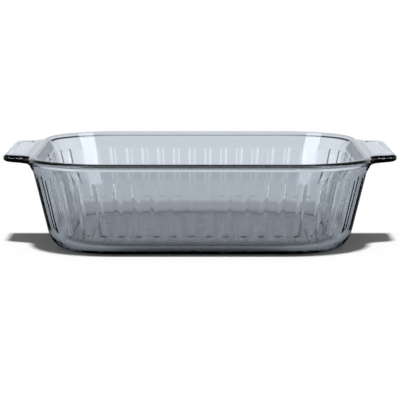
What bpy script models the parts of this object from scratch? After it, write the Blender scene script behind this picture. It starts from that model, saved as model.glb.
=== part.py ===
"""Square glass baking dish with fluted walls, a beaded rim and two flat handles.

The dish is one pressed piece of glass. Its wall is a section carried round a square
path with rounded corners, and its handles are lofted plates fused into the rim.
Lengths are in metres, +Z is up, and the origin is the middle of the underside.
"""
import math

import bmesh
import bpy
from mathutils import Matrix, Vector

# Overall sizes, and the straight part of each side at the rim and at the base.
HEIGHT = 0.0603
RIM_WIDTH = 0.224
RIM_STRAIGHT = 0.120
BASE_STRAIGHT = 0.108

# Rim: a crown that falls away outwards to a lip, a cove under the lip and a flared band.
CROWN_OUTER_WIDTH = 0.0042
CROWN_OUTER_HEIGHT = 0.0020
CROWN_INNER_WIDTH = 0.0013
CROWN_INNER_HEIGHT = 0.0011
LIP_DROP = 0.0030
LIP_RADIUS = 0.0006
COVE_DROP = 0.0044
COVE_RADIUS = 0.0016
BAND_DROP = 0.0118
BAND_FLARE = math.radians(15.5)

# Wall, floor and foot.
WALL_DRAFT = math.radians(13.0)
WALL_THICKNESS = 0.0053
FLOOR_THICKNESS = 0.0042
OUTER_FILLET_WIDTH = 0.0122
OUTER_FILLET_HEIGHT = 0.019
INNER_FILLET_WIDTH = 0.018
INNER_FILLET_HEIGHT = 0.013
FOOT_WIDTH = 0.008
FOOT_RECESS = 0.0006

# Flutes: rounded upright grooves between flat panels, all round the outside.
FLUTES_PER_STRAIGHT = 10
FLUTES_PER_CORNER = 6
FLUTE_WIDTH = 0.0050
FLUTE_DEPTH = 0.0006
FLUTE_RUNOUT = 0.0016
FLUTE_SHOULDER = 0.3
FLUTE_SHOULDER_DEPTH = 0.7

# Handles: one plate on each side, with a shallow grip recess on top.
HANDLE_REACH = 0.0184
HANDLE_TIP_LENGTH = 0.085
HANDLE_CORNER_RADIUS = 0.009
HANDLE_FILLET_RADIUS = 0.012
HANDLE_FLARE = math.radians(20.0)
HANDLE_ROOT_THICKNESS = 0.0050
HANDLE_TIP_THICKNESS = 0.0043
HANDLE_EDGE = 0.0021
HANDLE_DROP = 0.0007
HANDLE_ROOT_FILLET = 0.004
GRIP_RECESS_DEPTH = 0.0004
GRIP_RECESS_WIDTH = 0.0099
GRIP_RECESS_LENGTH = 0.086
GRIP_RECESS_RADIUS = 0.004
GRIP_MARGIN = 0.0040

# How far the handles reach into the rim, above and below.
HANDLE_TOP_BITE = 0.0038
HANDLE_ROOT_BITE = 0.0055

# Fineness of the round stretches, and the turn above which an edge is drawn sharp.
FILLET_STEPS = 4
CROWN_STEPS = 3
BEND_STEPS = 2
EDGE_STEPS = 6
CORNER_STEPS = 5
GROOVE_STEPS = 2
SHARP_TURN = math.radians(30.0)

# Places worked out from the sizes above.
QUARTER_TURN = math.pi / 2
RIM_HALF = RIM_WIDTH / 2
HALF_FLUTES = FLUTES_PER_STRAIGHT / 2
SIDE_FLUTES = FLUTES_PER_STRAIGHT + FLUTES_PER_CORNER
FLUTE_COUNT = 4 * SIDE_FLUTES
LIP_HEIGHT = HEIGHT - LIP_DROP
COVE_HEIGHT = HEIGHT - COVE_DROP
BAND_BOTTOM = HEIGHT - BAND_DROP
COVE_HALF = RIM_HALF - (LIP_HEIGHT - COVE_HEIGHT)
BAND_BOTTOM_HALF = COVE_HALF - (COVE_HEIGHT - BAND_BOTTOM) * math.tan(BAND_FLARE)
HANDLE_TIP = RIM_HALF + HANDLE_REACH
HANDLE_TOP = HEIGHT - HANDLE_DROP
ROOT_BOTTOM = HANDLE_TOP - HANDLE_ROOT_THICKNESS


def wall_half(height):
    """Half width of the outer wall at a height, without the flutes."""
    return BAND_BOTTOM_HALF - (BAND_BOTTOM - height) * math.tan(WALL_DRAFT)


def inner_half(height):
    """Half width of the inner wall at a height."""
    return wall_half(height) - WALL_THICKNESS


def band_half(height):
    """Half width of the flared band at a height."""
    return COVE_HALF - (COVE_HEIGHT - height) * math.tan(BAND_FLARE)


def straight_half(height):
    """Half of a side's straight part at a height."""
    return (BASE_STRAIGHT + (RIM_STRAIGHT - BASE_STRAIGHT) * height / HEIGHT) / 2


def arc(center, radii, start, end, steps):
    """Points on an upright ellipse between two angles, both ends included."""
    angles = [start + (end - start) * step / steps for step in range(steps + 1)]
    return [
        (center[0] + radii[0] * math.cos(angle), center[1] + radii[1] * math.sin(angle))
        for angle in angles
    ]


def wall_fillet(width, height, floor_height, half_at):
    """Elliptic fillet from a floor up to a drafted wall, as (half width, height) points."""
    end = -math.atan(height / width * math.tan(WALL_DRAFT))
    contact = floor_height + height * (1 + math.sin(end))
    middle = half_at(contact) - width * math.cos(end)
    return arc((middle, floor_height + height), (width, height), -QUARTER_TURN, end, FILLET_STEPS)


def rounded(before, corner, after, radius):
    """Arc that rounds off the corner between two straight lines."""
    corner = Vector(corner)
    back = (Vector(before) - corner).normalized()
    forth = (Vector(after) - corner).normalized()
    half_turn = back.angle(forth) / 2
    center = corner + (back + forth).normalized() * (radius / math.sin(half_turn))
    reach = radius / math.tan(half_turn)
    first = corner + back * reach - center
    last = corner + forth * reach - center
    sweep = first.angle_signed(last)
    turns = [Matrix.Rotation(-sweep * step / BEND_STEPS, 2) for step in range(BEND_STEPS + 1)]
    return [tuple(center + turn @ first) for turn in turns]


def ring_point(half_width, height, place):
    """Point and outward direction at a place on a rounded square, counted in flutes.

    Places start at the middle of the front side and run counterclockwise.
    """
    straight = straight_half(height)
    side = math.floor((place + HALF_FLUTES) / SIDE_FLUTES)
    along = place - side * SIDE_FLUTES
    past_straight = max(along - HALF_FLUTES, 0.0)
    angle = past_straight / FLUTES_PER_CORNER * QUARTER_TURN
    outward = Vector((math.sin(angle), -math.cos(angle)))
    start = Vector((min(along / HALF_FLUTES, 1.0) * straight, -straight))
    turn = Matrix.Rotation(side * QUARTER_TURN, 2)
    return turn @ (start + outward * (half_width - straight)), turn @ outward


def plain_ring(mesh, half_width, height):
    """Ring with two points for each flute."""
    points = [ring_point(half_width, height, step / 2)[0] for step in range(2 * FLUTE_COUNT)]
    return [mesh.verts.new((point.x, point.y, height)) for point in points]


def flute_pitch(half_width, height, flute):
    """Distance from one flute to the next on the straight or corner that a flute is on."""
    straight = straight_half(height)
    on_corner = (flute + HALF_FLUTES) % SIDE_FLUTES >= FLUTES_PER_STRAIGHT
    if on_corner:
        return (half_width - straight) * QUARTER_TURN / FLUTES_PER_CORNER
    return straight / HALF_FLUTES


def fluted_ring(mesh, half_width, height, depth):
    """Ring through the flat panels and the rounded grooves between them."""
    ring = []
    for flute in range(FLUTE_COUNT):
        reach = FLUTE_WIDTH / 2 / flute_pitch(half_width, height, flute)
        section = [(0.0, 0.0)]
        for step in range(-GROOVE_STEPS, GROOVE_STEPS + 1):
            across = step / GROOVE_STEPS
            section.append((0.5 + reach * across, depth * (1 - across ** 2)))
        for place, inward in section:
            point, outward = ring_point(half_width, height, flute + place)
            x, y = point - outward * inward
            ring.append(mesh.verts.new((x, y, height)))
    return ring


def bridge(mesh, below, above):
    """Join two closed rings, one of which may have several points for each of the other."""
    fine, coarse = (below, above) if len(below) > len(above) else (above, below)
    ratio = len(fine) // len(coarse)
    half_ratio = (ratio + 1) // 2
    for step in range(len(coarse)):
        near, far = coarse[step], coarse[(step + 1) % len(coarse)]
        points = [fine[(step * ratio + k) % len(fine)] for k in range(ratio + 1)]
        if ratio == 1:
            faces = [(near, far, points[1], points[0])]
        else:
            faces = [(near, far, points[half_ratio])]
            for k in range(ratio):
                corner = near if k < half_ratio else far
                faces.append((corner, points[k + 1], points[k]))
        for face in faces:
            mesh.faces.new(face if fine is above else face[::-1])


def close_loft(mesh, rings):
    """Bridge the rings in order and cap the first and the last of them."""
    for below, above in zip(rings, rings[1:]):
        bridge(mesh, below, above)
    mesh.faces.new(reversed(rings[0]))
    mesh.faces.new(rings[-1])


def foot_rings(mesh, foot_half):
    """Recessed middle of the underside, and the flat foot that the dish stands on."""
    recess_half = foot_half - FOOT_WIDTH
    return [
        plain_ring(mesh, recess_half - FOOT_RECESS, FOOT_RECESS),
        plain_ring(mesh, recess_half, 0.0),
    ]


def fluted_wall_rings(mesh, fillet):
    """Outer fillet, fluted wall and the grooves' rounded ends."""
    rings = [plain_ring(mesh, half_width, height) for half_width, height in fillet[:-1]]
    low = fillet[-1][1]
    shoulder = FLUTE_SHOULDER * FLUTE_RUNOUT
    stations = (
        (low, 0.0),
        (low + shoulder, FLUTE_SHOULDER_DEPTH * FLUTE_DEPTH),
        (low + FLUTE_RUNOUT, FLUTE_DEPTH),
        (BAND_BOTTOM - FLUTE_RUNOUT, FLUTE_DEPTH),
        (BAND_BOTTOM - shoulder, FLUTE_SHOULDER_DEPTH * FLUTE_DEPTH),
        (BAND_BOTTOM, 0.0),
    )
    for height, depth in stations:
        rings.append(fluted_ring(mesh, wall_half(height), height, depth))
    return rings


def rim_rings(mesh):
    """Cove, lip and crown of the rim."""
    band_bottom = (BAND_BOTTOM_HALF, BAND_BOTTOM)
    cove = (COVE_HALF, COVE_HEIGHT)
    lip = (RIM_HALF, LIP_HEIGHT)
    top_half = RIM_HALF - CROWN_OUTER_WIDTH
    outer_radii = (CROWN_OUTER_WIDTH, CROWN_OUTER_HEIGHT)
    inner_radii = (CROWN_INNER_WIDTH, CROWN_INNER_HEIGHT)
    crown = arc((top_half, HEIGHT - CROWN_OUTER_HEIGHT), outer_radii, 0.0, QUARTER_TURN, CROWN_STEPS)
    inner_center = (top_half, HEIGHT - CROWN_INNER_HEIGHT)
    crown += arc(inner_center, inner_radii, QUARTER_TURN, math.pi, CROWN_STEPS)[1:]
    section = rounded(band_bottom, cove, lip, COVE_RADIUS)
    section += rounded(cove, lip, crown[0], LIP_RADIUS)
    section += crown
    return [plain_ring(mesh, half_width, height) for half_width, height in section]


def inner_rings(mesh):
    """Smooth inner wall, its fillet and the edge of the floor."""
    fillet = wall_fillet(INNER_FILLET_WIDTH, INNER_FILLET_HEIGHT, FLOOR_THICKNESS, inner_half)
    section = [(inner_half(BAND_BOTTOM), BAND_BOTTOM)] + fillet[::-1]
    return [plain_ring(mesh, half_width, height) for half_width, height in section]


def faced_arc(center, radius, start, end, side):
    """Points of an arc, each with the direction away from its middle, or to it for side -1."""
    return [
        ((x, y), (side * (x - center[0]) / radius, side * (y - center[1]) / radius))
        for x, y in arc(center, (radius, radius), start, end, CORNER_STEPS)
    ]


def handle_outline():
    """Half of the handle's edge in plan, from the tip's end to the rim.

    Each point comes with the direction that the edge faces there.
    """
    radius = HANDLE_FILLET_RADIUS
    turn = QUARTER_TURN - HANDLE_FLARE
    tip_center = (HANDLE_TIP - HANDLE_CORNER_RADIUS, HANDLE_TIP_LENGTH / 2)
    convex = faced_arc(tip_center, HANDLE_CORNER_RADIUS, 0.0, turn, 1)
    corner_x, corner_y = convex[-1][0]
    side_x = RIM_HALF - LIP_RADIUS + radius * (1 - math.sin(HANDLE_FLARE))
    side_y = corner_y + (corner_x - side_x) * math.tan(HANDLE_FLARE)
    root_center = (side_x + radius * math.sin(HANDLE_FLARE), side_y + radius * math.cos(HANDLE_FLARE))
    return convex + faced_arc(root_center, radius, turn - math.pi, -math.pi, -1)


def root_fillet_center():
    """Middle of the fillet between the handle's underside and the flared band, as (x, height)."""
    height = ROOT_BOTTOM - HANDLE_ROOT_FILLET
    return band_half(height) + HANDLE_ROOT_FILLET / math.cos(BAND_FLARE), height


def underside(x):
    """Height of the handle's underside, which rises to the tip and sinks into the band."""
    center_x, center_height = root_fillet_center()
    if x > center_x:
        rise = HANDLE_ROOT_THICKNESS - HANDLE_TIP_THICKNESS
        return ROOT_BOTTOM + rise * (x - center_x) / (HANDLE_TIP - center_x)
    contact_x = center_x - HANDLE_ROOT_FILLET * math.cos(BAND_FLARE)
    reach = center_x - max(x, contact_x)
    return center_height + math.sqrt(HANDLE_ROOT_FILLET ** 2 - reach ** 2)


def handle_section(mesh, place, outward):
    """Closed section of the handle at one point of its edge, square to the rim."""
    top_x = place[0] - outward[0] * HANDLE_EDGE
    line_y = place[1] - outward[1] * HANDLE_EDGE
    ring = [mesh.verts.new((RIM_HALF - HANDLE_TOP_BITE, line_y, HANDLE_TOP))]
    for side, level in arc((0.0, 0.5), (HANDLE_EDGE, 0.5), QUARTER_TURN, -QUARTER_TURN, EDGE_STEPS):
        inset = HANDLE_EDGE - side
        x, y = place[0] - outward[0] * inset, place[1] - outward[1] * inset
        bottom = underside(x)
        ring.append(mesh.verts.new((x, y, bottom + (HANDLE_TOP - bottom) * level)))
    end_x = RIM_HALF - HANDLE_ROOT_BITE
    start_x = min(root_fillet_center()[0], top_x + (end_x - top_x) / (CORNER_STEPS + 1))
    for step in range(CORNER_STEPS + 1):
        x = start_x + (end_x - start_x) * step / CORNER_STEPS
        ring.append(mesh.verts.new((x, line_y, underside(x))))
    return ring


def mirrored(place, outward):
    """The same point of the edge on the other half of the handle."""
    return (place[0], -place[1]), (outward[0], -outward[1])


def finish_mesh(mesh, name):
    """Turn a bmesh into an object in the scene."""
    bmesh.ops.recalc_face_normals(mesh, faces=mesh.faces)
    data = bpy.data.meshes.new(name)
    mesh.to_mesh(data)
    mesh.free()
    piece = bpy.data.objects.new(name, data)
    bpy.context.scene.collection.objects.link(piece)
    return piece


def make_body():
    """The dish without its handles."""
    mesh = bmesh.new()
    fillet = wall_fillet(OUTER_FILLET_WIDTH, OUTER_FILLET_HEIGHT, 0.0, wall_half)
    rings = foot_rings(mesh, fillet[0][0]) + fluted_wall_rings(mesh, fillet)
    close_loft(mesh, rings + rim_rings(mesh) + inner_rings(mesh))
    return finish_mesh(mesh, "dish")


def make_handle(name, turn):
    """One handle as a loft of sections along its edge, turned about the dish's middle."""
    mesh = bmesh.new()
    half = handle_outline()
    outline = [mirrored(*point) for point in reversed(half)] + half
    close_loft(mesh, [handle_section(mesh, *point) for point in outline])
    return as_guide(finish_mesh(mesh, name), turn)


def make_grip_recess(name, turn):
    """Cutter for the shallow recess on top of one handle."""
    mesh = bmesh.new()
    radius = GRIP_RECESS_RADIUS
    far_x = HANDLE_TIP - GRIP_MARGIN - radius
    near_x = HANDLE_TIP - GRIP_MARGIN - GRIP_RECESS_WIDTH + radius
    half_y = GRIP_RECESS_LENGTH / 2 - radius
    centers = ((far_x, half_y), (near_x, half_y), (near_x, -half_y), (far_x, -half_y))
    outline = []
    for quarter, center in enumerate(centers):
        start = quarter * QUARTER_TURN
        outline += arc(center, (radius, radius), start, start + QUARTER_TURN, CORNER_STEPS)
    levels = (HANDLE_TOP - GRIP_RECESS_DEPTH, HEIGHT + GRIP_RECESS_DEPTH)
    close_loft(mesh, [[mesh.verts.new((x, y, level)) for x, y in outline] for level in levels])
    return as_guide(finish_mesh(mesh, name), turn)


def as_guide(piece, turn):
    """Turn an object about the dish's middle and mark it as a tool for the dish's shape."""
    piece.rotation_euler.z = turn
    piece.hide_render = True
    piece.display_type = "WIRE"
    return piece


def combine(piece, tool, operation):
    """Add a Boolean to the dish."""
    modifier = piece.modifiers.new(tool.name, "BOOLEAN")
    modifier.operation = operation
    modifier.solver = "EXACT"
    modifier.object = tool


def glass_material():
    """Blue-grey tinted glass."""
    material = bpy.data.materials.new("smoke_glass")
    material.use_nodes = True
    shader = material.node_tree.nodes["Principled BSDF"]
    shader.inputs["Base Color"].default_value = (0.52, 0.60, 0.66, 1.0)
    shader.inputs["Roughness"].default_value = 0.02
    shader.inputs["Metallic"].default_value = 0.0
    shader.inputs["IOR"].default_value = 1.47
    shader.inputs["Transmission Weight"].default_value = 1.0
    return material


def main():
    """Build the dish in an emptied scene."""
    for leftover in list(bpy.data.objects):
        bpy.data.objects.remove(leftover, do_unlink=True)
    dish = make_body()
    for side, turn in (("right", 0.0), ("left", math.pi)):
        combine(dish, make_handle("handle_" + side, turn), "UNION")
        combine(dish, make_grip_recess("grip_recess_" + side, turn), "DIFFERENCE")
    dish.data.materials.append(glass_material())
    dish.data.shade_smooth()
    dish.data.set_sharp_from_angle(angle=SHARP_TURN)


main()
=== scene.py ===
import math

import bmesh
import bpy
from mathutils import Matrix, Vector


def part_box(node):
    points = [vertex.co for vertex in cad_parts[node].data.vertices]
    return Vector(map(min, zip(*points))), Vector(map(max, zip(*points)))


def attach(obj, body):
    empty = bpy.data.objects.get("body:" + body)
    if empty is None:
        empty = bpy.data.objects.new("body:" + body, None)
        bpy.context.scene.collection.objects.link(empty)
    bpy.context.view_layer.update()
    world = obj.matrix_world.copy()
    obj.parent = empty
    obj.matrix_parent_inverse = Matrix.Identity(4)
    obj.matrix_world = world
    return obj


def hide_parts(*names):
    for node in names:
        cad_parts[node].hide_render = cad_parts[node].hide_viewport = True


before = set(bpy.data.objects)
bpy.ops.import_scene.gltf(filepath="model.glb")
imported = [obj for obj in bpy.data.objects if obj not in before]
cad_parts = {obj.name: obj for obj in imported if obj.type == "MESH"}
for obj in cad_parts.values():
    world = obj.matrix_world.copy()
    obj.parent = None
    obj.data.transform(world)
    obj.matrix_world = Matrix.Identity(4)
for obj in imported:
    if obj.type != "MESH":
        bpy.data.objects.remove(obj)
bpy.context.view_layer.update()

# Main sizes of the dish in metres, which come from the frame.
HANDLE_TIP, RIM_HALF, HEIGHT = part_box("dish")[1]

# Half the straight part of each side, at the rim and at the base.
STRAIGHT_TOP = 0.060
STRAIGHT_BASE = 0.054

# Crown of the rim, the cove below its lip, and the flared band.
CROWN_OUTER_WIDTH = 0.0042
CROWN_OUTER_HEIGHT = 0.0020
CROWN_INNER_WIDTH = 0.0013
CROWN_INNER_HEIGHT = 0.0011
LIP_DROP = 0.0030
LIP_RADIUS = 0.0006
COVE_DROP = 0.0044
COVE_RADIUS = 0.0016
BAND_DROP = 0.0118
BAND_FLARE = math.radians(15.5)
BAND_RADIUS = 0.004

# Wall, floor and foot.
WALL_DRAFT = math.radians(13.0)
WALL_THICKNESS = 0.0053
FLOOR_THICKNESS = 0.0042
OUTER_FILLET_WIDTH = 0.0122
OUTER_FILLET_HEIGHT = 0.019
INNER_FILLET_WIDTH = 0.010
INNER_FILLET_HEIGHT = 0.010
FOOT_WIDTH = 0.016
FOOT_RECESS = 0.0006
FOOT_EDGE_RADIUS = 0.0004

# Flutes of the outside: half of those on each straight part, and those round a corner.
STRAIGHT_FLUTES = 5
CORNER_FLUTES = 6
SIDE_FLUTES = 2 * STRAIGHT_FLUTES + CORNER_FLUTES
FLUTE_WIDTH = 0.0054
STRAIGHT_SLOPE = math.radians(17.8)
CORNER_SLOPE = math.radians(23.5)
FLUTE_ROUNDING = 0.15
FLUTE_RUNOUT = 0.0014

# Handles, and the shallow panel that is pressed into the top of each.
HANDLE_DROP = 0.0007
HANDLE_ROOT_THICKNESS = 0.0050
HANDLE_TIP_THICKNESS = 0.0043
HANDLE_EDGE = 0.0021
HANDLE_TIP_LENGTH = 0.085
HANDLE_CORNER_RADIUS = 0.009
HANDLE_FILLET_RADIUS = 0.012
HANDLE_FLARE = math.radians(20.0)
HANDLE_ROOT_FILLET = 0.0070
HANDLE_BITE = 0.0041
HANDLE_OVERLAP = 0.0003
UNDERSIDE_INSET = HANDLE_EDGE / 10
GRIP_WIDTH = 0.0099
GRIP_LENGTH = 0.086
GRIP_RADIUS = 0.004
GRIP_DEPTH = 0.0003
GRIP_MARGIN = 0.0040

# Fineness of the mesh.
FILLET_STEPS = 16
BEND_STEPS = 6
COVE_STEPS = 8
FOOT_EDGE_STEPS = 3
CROWN_OUTER_STEPS = 12
CROWN_INNER_STEPS = 8
FLUTE_END_RINGS = 10
FLUTE_MIDDLE_RINGS = 6
GROOVE_SHARES = (1.0, 0.95, 0.9, 0.85, 0.7, 0.5, 0.25)
PANEL_STEPS = 4
TIP_CORNER_STEPS = 12
TIP_FILLET_STEPS = 14
EDGE_STEPS = 16
UNDERSIDE_STEPS = 12
GRIP_CORNER_STEPS = 6
SUPPORT = 0.0002
SHARP_TURN = math.radians(35.0)

# White, for the glass's surface and for light without a tint.
WHITE = (1, 1, 1, 1)

# Glass: its tint, the stipple of its underside, and the faint ripple of its body.
REFRACTIVE_INDEX = 1.5
ABSORBED_COLOR = (0.0, 0.05, 0.106, 1)
ABSORPTION = 84.0
STIPPLE_HEIGHT = (0.0015, 0.0038)
STIPPLE_SCALE = 480.0
STIPPLE_DEPTH = 0.0002
RIPPLE_SIDE = (0.100, 0.110)
RIPPLE_SCALE = 90.0
RIPPLE_DETAIL = 2.0
RIPPLE_STRETCH = 0.15
RIPPLE_DEPTH = 0.00002

# Floor: its sizes and colours, and the painted glow, light and shade, that the glass shows on it.
FLOOR_SIZE = 3.0
FLOOR_BACK = 0.295
FLOOR_DROP = 0.0003
FLOOR_COLOR = (0.95, 0.95, 0.95, 1)
# Colour of the floor where the glass mirrors it: a painted dark reflection.
FLOOR_PAINTED_DARK_MIRROR = (0.03, 0.03, 0.03, 1)
# Painted glow through the glass: light round the dish and under its back, more at the sides, painted shade
# up to a little behind it.
FOOTPRINT_POWER = 4.0
FOOTPRINT_EDGE = (0.082, 0.102)
UNDER_SPAN = (-0.06, 0.01)
UNDER_PAINTED_GLOW = 0.3
FLOOR_FLANK_SPAN = (0.118, 0.150)
FLOOR_FLANK_PAINTED_GLOW = 1.4
FLOOR_NEAR_SPAN = (0.13, 0.20)
FLOOR_NEAR_PAINTED_SHADE = 0.74

# Where painted light covers the dish's shadow for the camera: how far back, and how far to the side.
SHADOW_COVER_BACK = (0.0, 0.009)
SHADOW_COVER_SIDE = (0.098, 0.106)

# Studio round the dish: its tint and its levels, and the directions between which they change.
STUDIO_TINT = (1.0, 1.06, 1.135, 1)
AMBIENT_LEVEL = 0.2
ZENITH_LEVEL = 0.1
MIRRORED_LEVEL = 0.6
REAR_LEVEL = 0.9
BEHIND_LEVEL = 0.93
FLANK_LEVEL = 1.10
DOME_SPAN = (0.27, 0.42)
REAR_SPAN = (0.90, 0.97)
FLANK_SPAN = (0.084, 0.099)

# Softboxes in front, one on each side. Each edge goes from dark to lit: the near and the far one in the
# sine of the bearing, the others in the ahead and up parts of the direction.
SOFTBOX_MIRRORED_LEVEL = 6.0
SOFTBOX_REFRACTED_LEVEL = 4.5
SOFTBOX_NEAR_EDGE = (0.704, 0.716)
SOFTBOX_FAR_EDGE = (0.974, 0.970)
SOFTBOX_FRONT_EDGE = (0.02, -0.02)
SOFTBOX_BOTTOM_EDGE = (0.19, 0.21)
SOFTBOX_TOP_EDGE = (0.55, 0.50)

# Overhead light.
SUN_ENERGY = 2.9
SUN_ANGLE = math.radians(6)
SUN_PLACE = (0, -0.28, 1.0)

# Camera, with its focal length in pixels of the photograph.
FOCAL_PIXELS = 1891
PHOTO_PIXELS = 400
SENSOR_WIDTH = 36.0
CAMERA_DISTANCE = 1.288
CAMERA_RISE = 0.136
CAMERA_PITCH = 7.65
CLIP_START = 0.05

LIP_HEIGHT = HEIGHT - LIP_DROP
COVE_HEIGHT = HEIGHT - COVE_DROP
BAND_BOTTOM = HEIGHT - BAND_DROP
COVE_HALF = RIM_HALF - (LIP_HEIGHT - COVE_HEIGHT)
BAND_BOTTOM_HALF = COVE_HALF - (COVE_HEIGHT - BAND_BOTTOM) * math.tan(BAND_FLARE)
HANDLE_TOP = HEIGHT - HANDLE_DROP
ROOT_BOTTOM = HANDLE_TOP - HANDLE_ROOT_THICKNESS
QUARTER_TURN = math.pi / 2


def wall_half(height):
    """Half the outside width of the plain wall at a height."""
    return BAND_BOTTOM_HALF - (BAND_BOTTOM - height) * math.tan(WALL_DRAFT)


def band_half(height):
    """Half the outside width of the flared band at a height."""
    return COVE_HALF - (COVE_HEIGHT - height) * math.tan(BAND_FLARE)


def inner_half(height):
    """Half the inside width of the wall at a height."""
    return wall_half(height) - WALL_THICKNESS


def straight_half(height):
    """Half the straight part of a side at a height."""
    return STRAIGHT_BASE + (STRAIGHT_TOP - STRAIGHT_BASE) * height / HEIGHT


def arc(center, radii, start, end, steps):
    """Points on an ellipse with upright axes, between two angles."""
    points = []
    for step in range(steps + 1):
        angle = start + (end - start) * step / steps
        points.append((center[0] + radii[0] * math.cos(angle), center[1] + radii[1] * math.sin(angle)))
    return points


def base_fillet(width, height, floor_height, half_at):
    """Elliptic curve from a level floor up into a sloping wall."""
    end = -math.atan(height / width * math.tan(WALL_DRAFT))
    contact = floor_height + height * (1 + math.sin(end))
    middle = half_at(contact) - width * math.cos(end)
    return arc((middle, floor_height + height), (width, height), -QUARTER_TURN, end, FILLET_STEPS)


def rounded(before, corner, after, radius, steps):
    """Arc that rounds a corner, with a close support point on each side of it."""
    corner = Vector(corner)
    back = (Vector(before) - corner).normalized()
    forth = (Vector(after) - corner).normalized()
    half_turn = back.angle(forth) / 2
    reach = radius / math.tan(half_turn)
    middle = corner + (back + forth).normalized() * (radius / math.sin(half_turn))
    first = corner + back * reach - middle
    last = corner + forth * reach - middle
    sweep = first.angle_signed(last)
    points = [corner + back * (reach + SUPPORT)]
    for step in range(steps + 1):
        turn = Matrix.Rotation(-sweep * step / steps, 2)
        points.append(middle + turn @ first)
    points.append(corner + forth * (reach + SUPPORT))
    return [tuple(point) for point in points]


def crown_section():
    """Top of the rim, from the lip's height outside to the band's height inside."""
    top_half = RIM_HALF - CROWN_OUTER_WIDTH
    outer = arc((top_half, HEIGHT - CROWN_OUTER_HEIGHT), (CROWN_OUTER_WIDTH, CROWN_OUTER_HEIGHT),
                0.0, QUARTER_TURN, CROWN_OUTER_STEPS)
    inner = arc((top_half, HEIGHT - CROWN_INNER_HEIGHT), (CROWN_INNER_WIDTH, CROWN_INNER_HEIGHT),
                QUARTER_TURN, math.pi, CROWN_INNER_STEPS)
    return outer + inner[1:]


def lower_section():
    """Outside of the glass from under its middle, round the foot and up to the foot of the flutes."""
    outer = base_fillet(OUTER_FILLET_WIDTH, OUTER_FILLET_HEIGHT, 0.0, wall_half)
    foot = outer[0][0]
    middle = (0, FOOT_RECESS)
    step_top = (foot - FOOT_WIDTH - FOOT_RECESS, FOOT_RECESS)
    step_base = (foot - FOOT_WIDTH, 0)
    section = rounded(middle, step_top, step_base, FOOT_EDGE_RADIUS, FOOT_EDGE_STEPS)
    section += rounded(step_top, step_base, (foot, 0), FOOT_EDGE_RADIUS, FOOT_EDGE_STEPS)
    return section + [(foot - SUPPORT, 0)] + outer


def upper_section(wall_point):
    """From the top of the flutes up over the rim, down inside and onto the floor."""
    kink = (BAND_BOTTOM_HALF, BAND_BOTTOM)
    cove = (COVE_HALF, COVE_HEIGHT)
    lip = (RIM_HALF, LIP_HEIGHT)
    crown = crown_section()
    inner_kink = (inner_half(BAND_BOTTOM), BAND_BOTTOM)
    inner = base_fillet(INNER_FILLET_WIDTH, INNER_FILLET_HEIGHT, FLOOR_THICKNESS, inner_half)
    low_x, low_z = inner[-1]
    section = rounded(wall_point, kink, cove, BAND_RADIUS, BEND_STEPS)
    section += rounded(kink, cove, lip, COVE_RADIUS, COVE_STEPS)
    section += rounded(cove, lip, crown[0], LIP_RADIUS, BEND_STEPS)
    section += crown
    section += rounded(crown[-1], inner_kink, inner[-1], BAND_RADIUS, BEND_STEPS)
    section += [(low_x + SUPPORT * math.tan(WALL_DRAFT), low_z + SUPPORT)]
    section += inner[::-1]
    section += [(inner[0][0] - SUPPORT, FLOOR_THICKNESS)]
    return section


def flute_heights(low, high):
    """Heights of the rings on the fluted wall, close together at both ends of the flutes."""
    start = low + FLUTE_RUNOUT
    stop = high - FLUTE_RUNOUT
    ends = range(FLUTE_END_RINGS + 1)
    heights = [low + FLUTE_RUNOUT * step / FLUTE_END_RINGS for step in ends]
    heights += [start + (stop - start) * step / FLUTE_MIDDLE_RINGS for step in range(1, FLUTE_MIDDLE_RINGS)]
    heights += [stop + FLUTE_RUNOUT * step / FLUTE_END_RINGS for step in ends]
    return heights


def ring_point(half, height, place):
    """Point and outward direction on the rounded square, with places counted in flutes."""
    straight = straight_half(height)
    side = math.floor((place + STRAIGHT_FLUTES) / SIDE_FLUTES)
    along = place - side * SIDE_FLUTES
    past = max(along - STRAIGHT_FLUTES, 0.0)
    angle = past / CORNER_FLUTES * QUARTER_TURN
    out = Vector((math.sin(angle), -math.cos(angle)))
    start = Vector((min(along / STRAIGHT_FLUTES, 1.0) * straight, -straight))
    turn = Matrix.Rotation(side * QUARTER_TURN, 2)
    return turn @ (start + out * (half - straight)), turn @ out


def ring_places(half, height):
    """Places of the points of a ring, each with its flute's slope and its share from the flute's middle."""
    straight = straight_half(height)
    straight_pitch = straight / STRAIGHT_FLUTES
    corner_pitch = (half - straight) * QUARTER_TURN / CORNER_FLUTES
    places = []
    for flute in range(4 * SIDE_FLUTES):
        along = flute % SIDE_FLUTES
        on_corner = STRAIGHT_FLUTES <= along < STRAIGHT_FLUTES + CORNER_FLUTES
        reach = FLUTE_WIDTH / 2 / (corner_pitch if on_corner else straight_pitch)
        slope = CORNER_SLOPE if on_corner else STRAIGHT_SLOPE
        middle = flute + 0.5
        flat = 0.5 - reach
        for step in range(PANEL_STEPS):
            places.append((flute + flat * step / PANEL_STEPS, slope, 1.0))
        for share in GROOVE_SHARES:
            places.append((middle - reach * share, slope, share))
        places.append((middle, slope, 0.0))
        for share in GROOVE_SHARES[:0:-1]:
            places.append((middle + reach * share, slope, share))
        for step in range(PANEL_STEPS):
            places.append((middle + reach + flat * step / PANEL_STEPS, slope, 1.0))
    return places


def flute_cut(slope, across, height, low, high):
    """Depth of a flute at a share of its half width from its middle, and at a height."""
    past = max(low + FLUTE_RUNOUT - height, height - high + FLUTE_RUNOUT, 0.0) / FLUTE_RUNOUT
    radius = min(math.hypot(across, past), 1.0)
    soft = FLUTE_ROUNDING
    # The flute is a parabola across, rounded off where it meets the wall.
    if radius > 1 - soft:
        share = (1 - soft) * (1 - radius) ** 2 / soft
    else:
        share = 1 - soft - radius ** 2
    return share * FLUTE_WIDTH / 4 * math.tan(slope) / (1 - soft)


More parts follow.
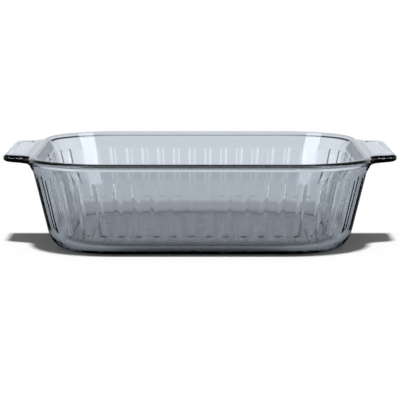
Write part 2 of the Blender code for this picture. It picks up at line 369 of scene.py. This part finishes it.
def add_ring(mesh, half, height, flute_span=None):
    """Ring of points round the dish, pressed in where the flutes are if it lies in their span."""
    ring = []
    for place, slope, across in ring_places(half, height):
        point, out = ring_point(half, height, place)
        if flute_span:
            point = point - out * flute_cut(slope, across, height, *flute_span)
        ring.append(mesh.verts.new((point.x, point.y, height)))
    return ring


def close_loft(mesh, rings):
    """Join rings of equal counts into one closed skin."""
    for below, above in zip(rings, rings[1:]):
        count = len(below)
        for index in range(count):
            after = (index + 1) % count
            mesh.faces.new((below[index], below[after], above[after], above[index]))
    mesh.faces.new(reversed(rings[0]))
    mesh.faces.new(rings[-1])


def add_object(name, data):
    """New object in the scene, with a mesh, light or camera as its data."""
    added = bpy.data.objects.new(name, data)
    bpy.context.scene.collection.objects.link(added)
    return added


def to_object(mesh, name, turn=0.0):
    """Object in the scene from a mesh, turned about the upright axis."""
    bmesh.ops.rotate(mesh, verts=mesh.verts, cent=(0, 0, 0), matrix=Matrix.Rotation(turn, 3, "Z"))
    bmesh.ops.recalc_face_normals(mesh, faces=mesh.faces)
    data = bpy.data.meshes.new(name)
    mesh.to_mesh(data)
    mesh.free()
    return add_object(name, data)


def make_body():
    """Fluted dish without its handles."""
    mesh = bmesh.new()
    lower = lower_section()
    low = lower[-1][1]
    high = BAND_BOTTOM - BAND_RADIUS * math.tan((BAND_FLARE - WALL_DRAFT) / 2)
    rings = [add_ring(mesh, half, height) for half, height in lower[:-1]]
    for height in flute_heights(low, high):
        rings.append(add_ring(mesh, wall_half(height), height, (low, high)))
    # The first point of the upper section is left out, because it lies below the top of the flutes.
    rings += [add_ring(mesh, half, height) for half, height in upper_section(lower[-1])[1:]]
    close_loft(mesh, rings)
    return to_object(mesh, "glass_dish")


def handle_outline():
    """Half the handle's plan, from the middle of its tip round to the rim, with outward directions."""
    rim_end = RIM_HALF - LIP_RADIUS
    radius = HANDLE_CORNER_RADIUS
    fillet = HANDLE_FILLET_RADIUS
    tip = (HANDLE_TIP - radius, HANDLE_TIP_LENGTH / 2)
    turn = QUARTER_TURN - HANDLE_FLARE
    half = []
    for x, y in arc(tip, (radius, radius), 0.0, turn, TIP_CORNER_STEPS):
        half.append(((x, y), ((x - tip[0]) / radius, (y - tip[1]) / radius)))
    end_x, end_y = half[-1][0]
    side_x = rim_end + fillet * (1 - math.sin(HANDLE_FLARE))
    side_y = end_y + (end_x - side_x) * math.tan(HANDLE_FLARE)
    root = (side_x + fillet * math.sin(HANDLE_FLARE), side_y + fillet * math.cos(HANDLE_FLARE))
    for x, y in arc(root, (fillet, fillet), turn - math.pi, -math.pi, TIP_FILLET_STEPS):
        half.append(((x, y), ((root[0] - x) / fillet, (root[1] - y) / fillet)))
    return half


def root_fillet_middle():
    """Middle of the fillet between the handle's underside and the band."""
    level = ROOT_BOTTOM - HANDLE_ROOT_FILLET
    return band_half(level) + HANDLE_ROOT_FILLET / math.cos(BAND_FLARE) - HANDLE_OVERLAP, level


def underside(x):
    """Height of the handle's underside, which curves down into the band at its root."""
    radius = HANDLE_ROOT_FILLET
    middle_x, middle_z = root_fillet_middle()
    if x > middle_x:
        rise = HANDLE_ROOT_THICKNESS - HANDLE_TIP_THICKNESS
        return ROOT_BOTTOM + rise * (x - middle_x) / (HANDLE_TIP - middle_x)
    contact = middle_x - radius * math.cos(BAND_FLARE)
    return middle_z + math.sqrt(radius ** 2 - (middle_x - max(x, contact)) ** 2)


def handle_section(mesh, place, outward):
    """One upright section across the handle, from its edge back into the rim."""
    edge = HANDLE_EDGE
    root_x = RIM_HALF - HANDLE_BITE
    top_x = place[0] - outward[0] * edge
    back_y = place[1] - outward[1] * edge
    start_x = min(root_fillet_middle()[0], top_x - UNDERSIDE_INSET)
    ring = [mesh.verts.new((root_x, back_y, HANDLE_TOP))]
    for side, share in arc((0.0, 0.5), (edge, 0.5), QUARTER_TURN, -QUARTER_TURN, EDGE_STEPS):
        inset = edge - side
        point_x = place[0] - outward[0] * inset
        bottom = underside(point_x)
        level = bottom + (HANDLE_TOP - bottom) * share
        ring.append(mesh.verts.new((point_x, place[1] - outward[1] * inset, level)))
    for step in range(UNDERSIDE_STEPS + 1):
        x = start_x + (root_x - start_x) * step / UNDERSIDE_STEPS
        ring.append(mesh.verts.new((x, back_y, underside(x))))
    return ring


def make_handle(name, turn):
    """Flat handle with a rounded edge, lofted along its outline."""
    mesh = bmesh.new()
    half = handle_outline()
    other = [((p[0], -p[1]), (n[0], -n[1])) for p, n in reversed(half)]
    close_loft(mesh, [handle_section(mesh, p, n) for p, n in other + half])
    return to_object(mesh, name, turn)


def make_grip_cutter(name, turn):
    """Rounded plate that presses the shallow panel into a handle's top."""
    mesh = bmesh.new()
    middle = HANDLE_TIP - GRIP_MARGIN - GRIP_WIDTH / 2
    across = GRIP_WIDTH / 2 - GRIP_RADIUS
    along = GRIP_LENGTH / 2 - GRIP_RADIUS
    corners = ((across, along), (-across, along), (-across, -along), (across, -along))
    rings = []
    for lift in (-GRIP_DEPTH, GRIP_DEPTH):
        radius = GRIP_RADIUS + lift
        outline = []
        for corner, (x, y) in enumerate(corners):
            start = corner * QUARTER_TURN
            end = start + QUARTER_TURN
            outline += arc((middle + x, y), (radius, radius), start, end, GRIP_CORNER_STEPS)
        rings.append([mesh.verts.new((x, y, HANDLE_TOP + lift)) for x, y in outline])
    close_loft(mesh, rings)
    return to_object(mesh, name, turn)


def combine(body, tools, operation):
    """Fuse tools into the body, or cut them out of it."""
    for tool in tools:
        modifier = body.modifiers.new(tool.name, "BOOLEAN")
        modifier.operation = operation
        modifier.solver = "EXACT"
        modifier.object = tool
    graph = bpy.context.evaluated_depsgraph_get()
    data = bpy.data.meshes.new_from_object(body.evaluated_get(graph))
    body.modifiers.clear()
    body.data = data
    for tool in tools:
        bpy.data.objects.remove(tool, do_unlink=True)


def set_inputs(tree, node, inputs):
    """Set some of a node's sockets, by name or number, or link other nodes' outputs to them."""
    for key, value in inputs.items():
        if isinstance(value, bpy.types.NodeSocket):
            tree.links.new(value, node.inputs[key])
        else:
            node.inputs[key].default_value = value


def add_node(tree, kind, inputs=None, **settings):
    """New node with some of its settings and sockets set."""
    node = tree.nodes.new(kind)
    for name, value in settings.items():
        setattr(node, name, value)
    set_inputs(tree, node, inputs or {})
    return node


def reckon(tree, operation, *values, clamp=False):
    """Result of one sum on values or outputs."""
    inputs = dict(enumerate(values))
    node = add_node(tree, "ShaderNodeMath", inputs, operation=operation, use_clamp=clamp)
    return node.outputs[0]


def ramp(tree, value, span, low=0.0, high=1.0, curve="SMOOTHSTEP"):
    """Level that goes from low to high while a value crosses a span."""
    inputs = {"Value": value, "From Min": span[0], "From Max": span[1], "To Min": low, "To Max": high}
    node = add_node(tree, "ShaderNodeMapRange", inputs, interpolation_type=curve)
    return node.outputs["Result"]


def blend(tree, kind, share, first, second):
    """Level or colour between two others."""
    node = add_node(tree, "ShaderNodeMix", {"Factor": share, "A": first, "B": second}, data_type=kind)
    return node.outputs["Result"]


def glass_normal(tree):
    """Surface of pressed glass: pebbled underneath, with a faint upright ripple on the body."""
    place = add_node(tree, "ShaderNodeTexCoord").outputs["Object"]
    split = add_node(tree, "ShaderNodeSeparateXYZ", {"Vector": place})
    under = ramp(tree, split.outputs["Z"], STIPPLE_HEIGHT, 1.0, 0.0)
    pebbles = add_node(tree, "ShaderNodeTexVoronoi", {"Vector": place, "Scale": STIPPLE_SCALE},
                       feature="SMOOTH_F1")
    stipple = add_node(tree, "ShaderNodeBump", {"Strength": under, "Distance": STIPPLE_DEPTH,
                       "Height": pebbles.outputs["Distance"]})
    drawn = add_node(tree, "ShaderNodeMapping", {"Vector": place, "Scale": (1.0, 1.0, RIPPLE_STRETCH)})
    waves = add_node(tree, "ShaderNodeTexNoise", {"Vector": drawn.outputs["Vector"],
                     "Scale": RIPPLE_SCALE, "Detail": RIPPLE_DETAIL})
    on_body = ramp(tree, reckon(tree, "ABSOLUTE", split.outputs["X"]), RIPPLE_SIDE, 1.0, 0.0)
    ripple = add_node(tree, "ShaderNodeBump", {"Strength": on_body, "Distance": RIPPLE_DEPTH,
                      "Height": waves.outputs["Fac"], "Normal": stipple.outputs["Normal"]})
    return ripple.outputs["Normal"]


def glass_material():
    """Clear glass whose blue-grey tint grows with the way that light goes through it."""
    material = bpy.data.materials.new("smoke_glass")
    material.use_nodes = True
    tree = material.node_tree
    set_inputs(tree, tree.nodes["Principled BSDF"], {
        "Base Color": WHITE,
        "Roughness": 0.0,
        "IOR": REFRACTIVE_INDEX,
        "Transmission Weight": 1.0,
        "Normal": glass_normal(tree),
    })
    volume = add_node(tree, "ShaderNodeVolumeAbsorption", {"Color": ABSORBED_COLOR, "Density": ABSORPTION})
    set_inputs(tree, tree.nodes["Material Output"], {"Volume": volume.outputs["Volume"]})
    return material


def painted_footprint_glow(tree, x, y):
    """Share of painted glow on the floor: none under the front of the dish, some under its back, all round
    it.
    """
    powers = [reckon(tree, "POWER", value, FOOTPRINT_POWER) for value in (x, y)]
    far = reckon(tree, "POWER", reckon(tree, "ADD", *powers), 1 / FOOTPRINT_POWER)
    under = ramp(tree, y, UNDER_SPAN, 0.0, UNDER_PAINTED_GLOW)
    return ramp(tree, far, FOOTPRINT_EDGE, under, 1.0)


def floor_material():
    """Pale matt floor with the shadow. In the glass its reflection is painted nearly black, through the
    glass it shows a painted glow of light and shade, and for the camera painted light covers part of its
    shadow.
    """
    material = bpy.data.materials.new("floor")
    material.use_nodes = True
    tree = material.node_tree
    path = add_node(tree, "ShaderNodeLightPath").outputs
    refracted = path["Is Transmission Ray"]
    place = add_node(tree, "ShaderNodeNewGeometry")
    split = add_node(tree, "ShaderNodeSeparateXYZ", {"Vector": place.outputs["Position"]})
    x, y = split.outputs["X"], split.outputs["Y"]
    beside = reckon(tree, "ABSOLUTE", x)

    # Painted dark reflection: where the glass mirrors the floor, its colour is nearly black.
    mirrored = reckon(tree, "SUBTRACT", path["Is Glossy Ray"], refracted, clamp=True)
    tone = blend(tree, "RGBA", mirrored, FLOOR_COLOR, FLOOR_PAINTED_DARK_MIRROR)
    matt = tree.nodes["Principled BSDF"]
    set_inputs(tree, matt, {"Base Color": tone, "Roughness": 1.0, "Specular IOR Level": 0.0})

    # Painted light and shade, seen only through the glass: brighter to the sides, dimmer up to a little
    # behind the dish.
    flank = ramp(tree, beside, FLOOR_FLANK_SPAN, 1.0, FLOOR_FLANK_PAINTED_GLOW)
    near = ramp(tree, y, FLOOR_NEAR_SPAN, FLOOR_NEAR_PAINTED_SHADE, 1.0)
    strength = blend(tree, "FLOAT", refracted, 1.0, reckon(tree, "MULTIPLY", flank, near))
    tint = blend(tree, "RGBA", refracted, WHITE, STUDIO_TINT)
    glow = add_node(tree, "ShaderNodeEmission", {"Color": tint, "Strength": strength})

    # Painted light through the glass covers the shadow round the dish and lifts it a little under the
    # dish's back.
    through = reckon(tree, "MULTIPLY", painted_footprint_glow(tree, x, y), refracted)
    # Painted light for the camera covers the dish's shadow behind the handles.
    clear = reckon(tree, "MULTIPLY", ramp(tree, y, SHADOW_COVER_BACK), ramp(tree, beside, SHADOW_COVER_SIDE))
    share = reckon(tree, "MULTIPLY_ADD", clear, path["Is Camera Ray"], through)
    mix = add_node(tree, "ShaderNodeMixShader",
                   {"Fac": share, 1: matt.outputs["BSDF"], 2: glow.outputs["Emission"]})
    set_inputs(tree, tree.nodes["Material Output"], {"Surface": mix.outputs["Shader"]})
    return material


def make_floor():
    """Wide floor in front of and under the dish, which ends a little way behind it."""
    mesh = bmesh.new()
    side = FLOOR_SIZE
    for x, y in ((-side, -side), (side, -side), (side, FLOOR_BACK), (-side, FLOOR_BACK)):
        mesh.verts.new((x, y, -FLOOR_DROP))
    mesh.faces.new(mesh.verts)
    floor = to_object(mesh, "floor")
    floor.data.materials.append(floor_material())


def softbox_share(tree, across, ahead, up):
    """Share of the softboxes in a direction: all between their edges and none outside them."""
    level = add_node(tree, "ShaderNodeCombineXYZ", {"X": across, "Y": ahead})
    reach = add_node(tree, "ShaderNodeVectorMath", {"Vector": level.outputs["Vector"]}, operation="LENGTH")
    bearing = reckon(tree, "DIVIDE", reckon(tree, "ABSOLUTE", across), reach.outputs["Value"])
    share = 1.0
    edges = (
        (bearing, SOFTBOX_NEAR_EDGE),
        (bearing, SOFTBOX_FAR_EDGE),
        (ahead, SOFTBOX_FRONT_EDGE),
        (up, SOFTBOX_BOTTOM_EDGE),
        (up, SOFTBOX_TOP_EDGE),
    )
    for value, span in edges:
        share = reckon(tree, "MULTIPLY", share, ramp(tree, value, span, curve="LINEAR"))
    return share


def make_world():
    """Plain studio: white behind, with soft levels and two softboxes that only the glass shows."""
    world = bpy.data.worlds.new("studio")
    bpy.context.scene.world = world
    world.use_nodes = True
    tree = world.node_tree
    path = add_node(tree, "ShaderNodeLightPath").outputs
    refracted = path["Is Transmission Ray"]
    place = add_node(tree, "ShaderNodeTexCoord")
    split = add_node(tree, "ShaderNodeSeparateXYZ", {"Vector": place.outputs["Generated"]})
    across, ahead, up = split.outputs

    dome = ramp(tree, up, DOME_SPAN, 1.0, ZENITH_LEVEL)
    rear = ramp(tree, ahead, REAR_SPAN, MIRRORED_LEVEL, REAR_LEVEL)
    flank = ramp(tree, reckon(tree, "ABSOLUTE", across), FLANK_SPAN, BEHIND_LEVEL, FLANK_LEVEL)
    walls = reckon(tree, "MULTIPLY", dome, blend(tree, "FLOAT", refracted, rear, flank))
    softbox = blend(tree, "FLOAT", refracted, SOFTBOX_MIRRORED_LEVEL, SOFTBOX_REFRACTED_LEVEL)
    around = blend(tree, "FLOAT", softbox_share(tree, across, ahead, up), walls, softbox)

    # Light that has met the matt floor before it meets the glass gets the ambient level too.
    by_glass = reckon(tree, "MAXIMUM", path["Is Glossy Ray"], refracted)
    before_matt = reckon(tree, "LESS_THAN", path["Diffuse Depth"], 1.0)
    by_glass = reckon(tree, "MULTIPLY", by_glass, before_matt)
    level = blend(tree, "FLOAT", by_glass, AMBIENT_LEVEL, around)
    level = blend(tree, "FLOAT", path["Is Camera Ray"], level, 1.0)
    tint = blend(tree, "RGBA", by_glass, WHITE, STUDIO_TINT)
    set_inputs(tree, tree.nodes["Background"], {"Color": tint, "Strength": level})


def make_overhead_light():
    """Soft sun from above, which casts the shadow and isn't seen in the glass."""
    data = bpy.data.lights.new("overhead", "SUN")
    data.energy = SUN_ENERGY
    data.angle = SUN_ANGLE
    lamp = add_object("overhead", data)
    lamp.location = SUN_PLACE
    lamp.rotation_euler = Vector(SUN_PLACE).to_track_quat("Z", "Y").to_euler()
    lamp.visible_camera = False
    lamp.visible_transmission = False
    lamp.visible_glossy = False


def make_camera():
    """Camera at the photograph's place, in front of the dish and a little above it."""
    data = bpy.data.cameras.new("camera")
    data.sensor_width = SENSOR_WIDTH
    data.lens = FOCAL_PIXELS / PHOTO_PIXELS * SENSOR_WIDTH
    data.clip_start = CLIP_START
    camera = add_object("camera", data)
    camera.location = (0, -CAMERA_DISTANCE, HEIGHT + CAMERA_RISE)
    camera.rotation_euler = (math.radians(90 - CAMERA_PITCH), 0, 0)
    bpy.context.scene.camera = camera


dish = make_body()
combine(dish, [make_handle("handle_a", 0.0), make_handle("handle_b", math.pi)], "UNION")
combine(dish, [make_grip_cutter("grip_a", 0.0), make_grip_cutter("grip_b", math.pi)], "DIFFERENCE")
dish.data.shade_smooth()
dish.data.set_sharp_from_angle(angle=SHARP_TURN)
dish.data.materials.clear()
dish.data.materials.append(glass_material())
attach(dish, "root")
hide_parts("dish")
make_floor()
make_world()
make_overhead_light()
make_camera()
bpy.context.scene.view_settings.view_transform = "Standard"
